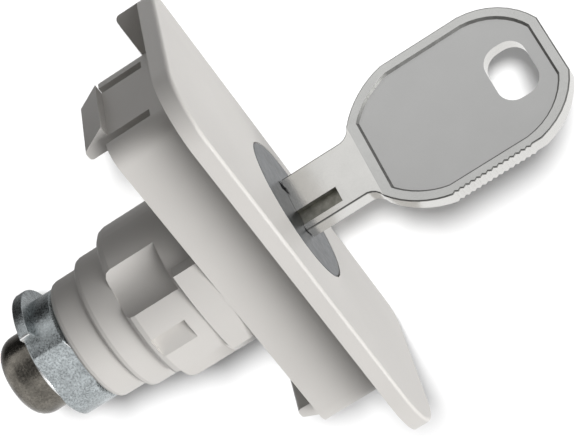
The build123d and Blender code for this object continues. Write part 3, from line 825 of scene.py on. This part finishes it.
class OBJECT_OT_lock_driver(bpy.types.Operator):
    """Shape the tail driver: turned collar, milled flat, catch flange and the hole for the plug's tang"""

    bl_idname = "object.lock_driver"
    bl_label = "Tail Driver"

    def execute(self, context):
        lock = context.scene.cabinet_lock
        tail = lock.tail
        radius, chamfer = tail.driver_radius, tail.driver_edge
        piece = turned("tail_driver_galvanised", [
            (radius - chamfer, tail.driver_front), (radius, tail.driver_front + chamfer),
            (radius, tail.catch_front), (radius, tail.driver_end - chamfer / 2),
            (radius - chamfer / 2, tail.driver_end)], steps=COLLAR_STEPS)
        draw_catch(tail)
        mill_flat(tail)
        # worn bare and painted bright as a highlight: the flat's broken edge, and the end of the catch
        # flange that faces it
        piece.data.materials.append(galvanised_zinc(lock.finish.driver_zinc))
        coat(piece, worn_zinc_and_highlight(lock.finish.worn_metal_and_highlight))
        pick("faces", lambda f: radius_of(centre(f)) > radius + tail.catch_round
             and angle_of(centre(f)) < tail.catch_from + tail.catch_worn_highlight)
        bpy.ops.object.material_slot_assign()
        close()
        cut_out(piece, tang_hole(tail))
        stand_for(piece, "tail_driver")
        return {"FINISHED"}


class OBJECT_OT_lock_tail_bolt(bpy.types.Operator):
    """Shape the tail bolt: domed head with a hexagon socket on a smooth shank"""

    bl_idname = "object.lock_tail_bolt"
    bl_label = "Tail Bolt"

    def execute(self, context):
        lock = context.scene.cabinet_lock
        tail = lock.tail
        front = tail.driver_end + tail.washer_thickness
        shank, tip, root = tail.shank_radius, tail.shank_bevel, tail.shank_root
        head, edge = tail.head_radius, tail.head_edge
        # a station about halfway round the head's front edge
        edge_in, edge_up = edge / 4, 0.3 * edge
        piece = turned("tail_bolt_steel", [
            (shank - tip, tail.shank_front), (shank, tail.shank_front + tip),
            (shank, front - root), (shank + root, front),
            (head - edge, front), (head - edge_in, front + edge_up), (head, front + edge),
            *rounded_end(head, tail.head_end, tail.head_dome, BOW_STEPS)])
        close()
        bpy.ops.mesh.primitive_cylinder_add(
            vertices=6, radius=tail.hex_flats / math.sqrt(3), depth=2 * tail.hex_depth,
            location=(0, tail.head_end, 0), rotation=TO_AXIS)
        socket = open_piece("socket")
        close()
        cut_out(piece, socket)
        # the head's front edge gets a painted highlight: a bright ring where it catches the light
        piece.data.materials.append(dark_steel(lock.finish.bolt_steel))
        only(piece)
        edit()
        pick("faces", lambda f: front < centre(f).y < front + tail.head_highlight
             and radius_of(centre(f)) > tail.washer_radius)
        coat(piece, worn_zinc_and_highlight(lock.finish.worn_metal_and_highlight))
        close()
        stand_for(piece, "tail_bolt")
        return {"FINISHED"}


class OBJECT_OT_lock_washer(bpy.types.Operator):
    """Shape the split spring washer between the driver and the bolt's head"""

    bl_idname = "object.lock_washer"
    bl_label = "Spring Washer"

    def execute(self, context):
        lock = context.scene.cabinet_lock
        tail = lock.tail
        width, thickness = tail.washer_radius - tail.washer_bore, tail.washer_thickness
        mean = (tail.washer_radius + tail.washer_bore) / 2
        opening = tail.washer_gap / mean
        bpy.ops.mesh.primitive_plane_add(size=1, location=(mean, tail.driver_end + thickness / 2, 0))
        bpy.context.object.scale = (width, thickness, 1)
        piece = open_piece("spring_washer_wire")
        bpy.ops.mesh.select_mode(type="FACE")
        bpy.ops.mesh.select_all(action="SELECT")
        bpy.ops.transform.rotate(value=-opening / 2, orient_axis="Y", center_override=(0, 0, 0))
        bpy.ops.mesh.spin(steps=WASHER_STEPS, angle=2 * math.pi - opening, center=(0, 0, 0), axis=(0, 1, 0))
        bpy.ops.mesh.select_all(action="SELECT")
        bpy.ops.mesh.remove_doubles(threshold=MERGE)
        face_outwards()
        pick("edges", lambda e: len(e.link_faces) == 2 and e.calc_face_angle(0) > SHARP)
        bpy.ops.mesh.bevel(offset=tail.washer_edge, segments=2, affect="EDGES")
        close()
        piece.data.materials.append(spring_wire(lock.finish.spring_steel))
        stand_for(piece, "spring_washer")
        return {"FINISHED"}


def wind_coil(spring):
    """One coil spring about the upright axis, with both ends of its wire closed."""
    wire = spring.wire / 2
    steps = int(spring.turns * COIL_STEPS)
    bpy.ops.mesh.primitive_circle_add(vertices=WIRE_STEPS, radius=wire, rotation=TO_AXIS,
                                      location=(spring.radius - wire, 0, 0))
    coil = open_piece("wafer_spring_wound_1")
    close()
    apply_modifier(coil, "SCREW", axis="Z", angle=spring.turns * 2 * math.pi, screw_offset=spring.height,
                   steps=steps, render_steps=steps, use_merge_vertices=False)
    edit()
    pick("edges", lambda e: len(e.link_faces) == 1)
    bpy.ops.mesh.edge_face_add()
    face_outwards()
    close()
    return coil


class OBJECT_OT_lock_springs(bpy.types.Operator):
    """Wind the seven small coil springs under the wafers' ears"""

    bl_idname = "object.lock_springs"
    bl_label = "Wafer Springs"

    def execute(self, context):
        lock = context.scene.cabinet_lock
        spring = lock.spring
        coil = wind_coil(spring)
        coil.data.materials.append(spring_wire(lock.finish.spring_steel))
        copies = [coil]
        for _ in SPRINGS[1:]:
            only(coil)
            bpy.ops.object.duplicate(linked=False)
            copies.append(bpy.context.object)
        for number, (node, piece) in enumerate(zip(SPRINGS, copies)):
            piece.name = piece.data.name = f"wafer_spring_wound_{number + 1}"
            only(piece)
            piece.location = (spring.at, spring.first + number * spring.pitch, -spring.low)
            settle()
            stand_for(piece, node, turn=KEY_TURN, smooth=60)
        return {"FINISHED"}


def aim(thing, place, target, up):
    """Turns a camera or lamp at a place towards a target, with one direction upright."""
    ahead = (Vector(target) - Vector(place)).normalized()
    right = ahead.cross(Vector(up)).normalized()
    facing = Matrix((right, right.cross(ahead), -ahead)).transposed().to_4x4()
    thing.matrix_world = Matrix.Translation(place) @ facing


def white_card(colour):
    """Card, matt white: it glows a little towards the camera, keeps the shadow, throws little light
    back, and metal mirrors it bright, but with painted shade in its glow where the shaded side of the tail
    hangs over it."""
    material, tree, output, place = new_material("card_white_matt")
    # painted shade, seen only in metal: the card's glow dims within this distance of this place, and is
    # full beyond
    painted_shade_middle, painted_shade_within, bright_beyond = (30 * MM, 45 * MM, 0), 20 * MM, 45 * MM
    camera_glow, bounce_glow = 0.08, 0.75
    rays = add_node(tree, "ShaderNodeLightPath")
    away = add_node(tree, "ShaderNodeVectorMath", {0: place, 1: painted_shade_middle}, operation="DISTANCE")
    mirrored = add_node(tree, "ShaderNodeMapRange",
                        {"Value": away.outputs["Value"], "From Min": painted_shade_within,
                         "From Max": bright_beyond, "To Min": 0.05, "To Max": 1.0})
    shine = add_node(tree, "ShaderNodeMapRange",
                     {"Value": rays.outputs["Is Glossy Ray"], "To Min": rays.outputs["Is Camera Ray"],
                      "To Max": mirrored.outputs["Result"]})
    card = add_node(tree, "ShaderNodeBsdfDiffuse", {"Color": (*colour, 1.0)})
    glow = add_node(tree, "ShaderNodeEmission", {"Color": WHITE, "Strength": shine.outputs["Result"]})
    # the share of glow: little for the camera, most for the light thrown back, all of it in metal
    spared = add_node(tree, "ShaderNodeMapRange",
                      {"Value": rays.outputs["Is Diffuse Ray"], "To Min": camera_glow,
                       "To Max": bounce_glow})
    share = add_node(tree, "ShaderNodeMapRange",
                     {"Value": rays.outputs["Is Glossy Ray"], "To Min": spared.outputs["Result"],
                      "To Max": 1.0})
    both = add_node(tree, "ShaderNodeMixShader",
                    {"Fac": share.outputs["Result"], 1: card.outputs["BSDF"], 2: glow.outputs["Emission"]})
    tree.links.new(both.outputs["Shader"], output.inputs["Surface"])
    return material


def studio_world(fill):
    """A pale room: near white to the camera, a soft fill on the lock, and bright in polished metal, with
    a dim corner high on the lock's shaded side."""
    world = bpy.data.worlds.new("studio")
    world.use_nodes = True
    tree = world.node_tree
    tree.nodes.clear()
    pale, dim = 0.95, 0.18
    # the dim corner's direction, and the cosines at which it starts and is full
    dim_corner, dim_start, dim_full = (0.72, 0.1, 0.68), 0.78, 0.95
    rays = add_node(tree, "ShaderNodeLightPath")
    direction = add_node(tree, "ShaderNodeTexCoord").outputs["Generated"]
    towards = add_node(tree, "ShaderNodeVectorMath", {0: direction, 1: dim_corner}, operation="DOT_PRODUCT")
    room = add_node(tree, "ShaderNodeMapRange",
                    {"Value": towards.outputs["Value"], "From Min": dim_start, "From Max": dim_full,
                     "To Min": pale, "To Max": dim})
    mirrored = add_node(tree, "ShaderNodeMapRange",
                        {"Value": rays.outputs["Is Glossy Ray"], "To Min": fill,
                         "To Max": room.outputs["Result"]})
    level = add_node(tree, "ShaderNodeMapRange",
                     {"Value": rays.outputs["Is Camera Ray"], "To Min": mirrored.outputs["Result"],
                      "To Max": pale})
    back = add_node(tree, "ShaderNodeBackground", {"Color": WHITE, "Strength": level.outputs["Result"]})
    output = add_node(tree, "ShaderNodeOutputWorld")
    tree.links.new(back.outputs["Background"], output.inputs["Surface"])
    return world


def add_camera(stage):
    """The camera, where the photograph was taken from."""
    bpy.ops.object.camera_add()
    camera = bpy.context.object
    aim(camera, stage.camera_place, stage.camera_aim, stage.camera_up)
    camera.data.lens = camera.data.sensor_width * PHOTO_FOCAL / PHOTO_WIDTH
    camera.data.clip_start = stage.camera_near
    return camera


def add_floor(stage, material):
    """The square card that the lock lies on."""
    bpy.ops.mesh.primitive_plane_add(size=2 * stage.floor_half)
    floor = bpy.context.object
    floor.name = "floor"
    floor.location = (0, 0, CAD_LOW.z)
    settle()
    floor.data.materials.append(material)
    return floor


def add_lamps(stage, floor):
    """The soft lamps. Those of the lock leave the card out; the card has its own, which throws the lock's
    soft shadow on it."""
    # each lamp's name, where it shines from, how many degrees wide it is, its strength and its card link
    lamps = (
        ("key_lamp", (-0.35, -0.48, 0.80), 42, stage.key_lamp, "EXCLUDE"),
        ("front_lamp", (0.05, -0.88, 0.46), 75, stage.front_lamp, "EXCLUDE"),
        ("floor_lamp", (0.612, -0.128, 0.786), 11, stage.floor_lamp, "INCLUDE"),
    )
    upright = (0.1, 0.2, 1)
    for name, place, spread, energy, link in lamps:
        bpy.ops.object.light_add(type="SUN")
        lamp = bpy.context.object
        lamp.name = name
        lamp.data.angle = math.radians(spread)
        lamp.data.energy = energy
        aim(lamp, place, (0, 0, 0), upright)
        lit = bpy.data.collections.new(f"lit_by_{name}")
        lit.objects.link(floor)
        lit.collection_objects[0].light_linking.link_state = link
        lamp.light_linking.receiver_collection = lit


class OBJECT_OT_lock_stage(bpy.types.Operator):
    """Set up the camera, the soft lamps and the pale floor"""

    bl_idname = "object.lock_stage"
    bl_label = "Lock Stage"

    def execute(self, context):
        lock = context.scene.cabinet_lock
        context.scene.camera = add_camera(lock.stage)
        floor = add_floor(lock.stage, white_card(lock.finish.card))
        add_lamps(lock.stage, floor)
        context.scene.world = studio_world(lock.stage.fill)
        context.scene.view_settings.view_transform = "Standard"
        return {"FINISHED"}


class VIEW3D_PT_cabinet_lock(bpy.types.Panel):
    """Lists the lock's operators and settings in the sidebar"""

    bl_label = "Cabinet Lock"
    bl_idname = "VIEW3D_PT_cabinet_lock"
    bl_space_type = "VIEW_3D"
    bl_region_type = "UI"
    bl_category = "Cabinet Lock"

    def draw(self, context):
        column = self.layout.column(align=True)
        for step in STEPS:
            column.operator(step.bl_idname)
        settings = context.scene.cabinet_lock
        for group in (settings.stage, settings.finish, settings.key, settings.tail, settings.spring):
            box = self.layout.box()
            for name in group.__annotations__:
                box.prop(group, name)


STEPS = (
    OBJECT_OT_lock_finishes,
    OBJECT_OT_lock_key,
    OBJECT_OT_lock_driver,
    OBJECT_OT_lock_tail_bolt,
    OBJECT_OT_lock_washer,
    OBJECT_OT_lock_springs,
    OBJECT_OT_lock_stage,
)
GROUPS = (StageSettings, FinishSettings, KeySettings, TailSettings, SpringSettings)
CLASSES = (*GROUPS, LockSettings, *STEPS, VIEW3D_PT_cabinet_lock)


def register():
    for one in CLASSES:
        bpy.utils.register_class(one)
    bpy.types.Scene.cabinet_lock = PointerProperty(type=LockSettings)


def unregister():
    del bpy.types.Scene.cabinet_lock
    for one in reversed(CLASSES):
        bpy.utils.unregister_class(one)


def main():
    """Registers the classes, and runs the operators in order."""
    register()
    for step in STEPS:
        area, name = step.bl_idname.split(".")
        getattr(getattr(bpy.ops, area), name)()


if __name__ == "__main__":
    main()
